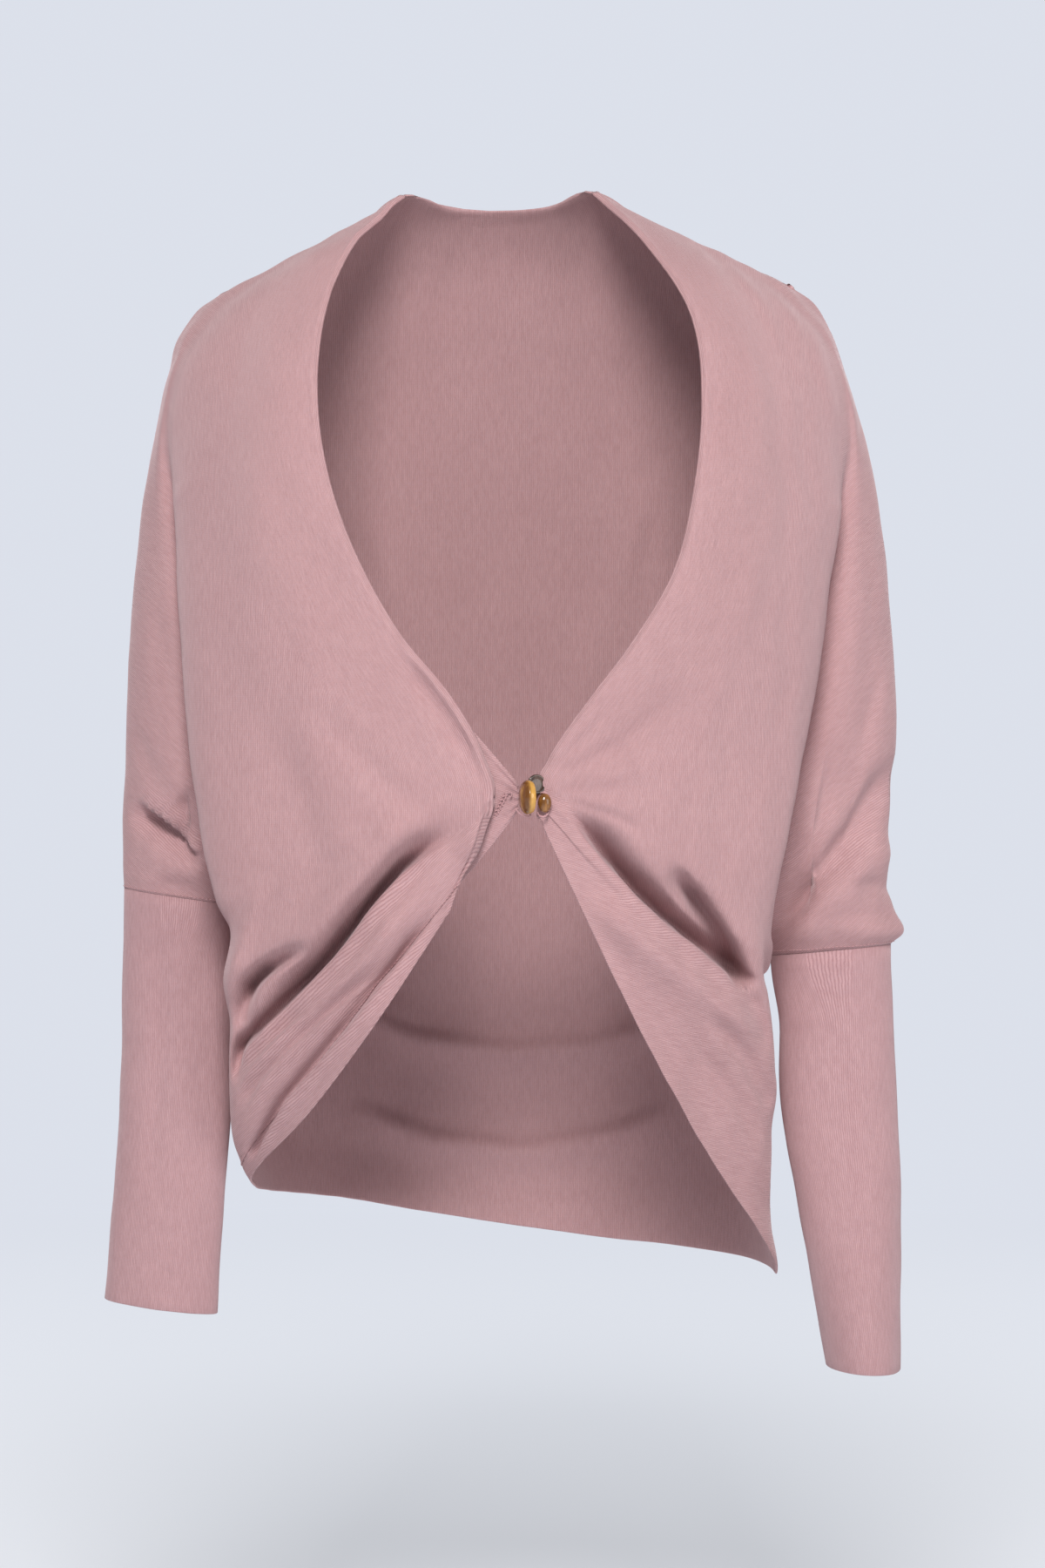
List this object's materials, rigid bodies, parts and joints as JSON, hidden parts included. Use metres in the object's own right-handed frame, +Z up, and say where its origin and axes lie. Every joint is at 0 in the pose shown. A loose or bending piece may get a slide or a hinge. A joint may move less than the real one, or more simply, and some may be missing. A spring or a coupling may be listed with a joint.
{
  "type": "cardigan",
  "caption": "Fine-knit cocoon cardigan with batwing upper sleeves, narrow lower sleeves, an open V front linked by buttons at the waist and a hem that sweeps to the back, hollow as worn",
  "frame": {"origin": "where the cardigan rests on the wearer's shoulders, at the base of the neck", "axes": "+Z up, -Y the wearer's front, +X the wearer's left"},
  "size_m": [0.4757, 0.2681, 0.7039],
  "materials": {
    "jersey": "fine dusty pink jersey with a soft nap",
    "sleeve_knit": "finer, closer dusty pink knit",
    "amber": "polished mottled amber resin",
    "brown": "polished dark brown resin",
    "thread": "matt pink sewing thread"
  },
  "bodies": {
    "root": {"right_front": "jersey", "left_front": "jersey", "back": "jersey", "hem_band": "jersey", "button_tab": "jersey", "right_lower_sleeve": "sleeve_knit", "left_lower_sleeve": "sleeve_knit", "button_amber": "amber", "button_brown": "brown", "button_back": "brown", "link_thread": "thread"}
  },
  "joints": []
}
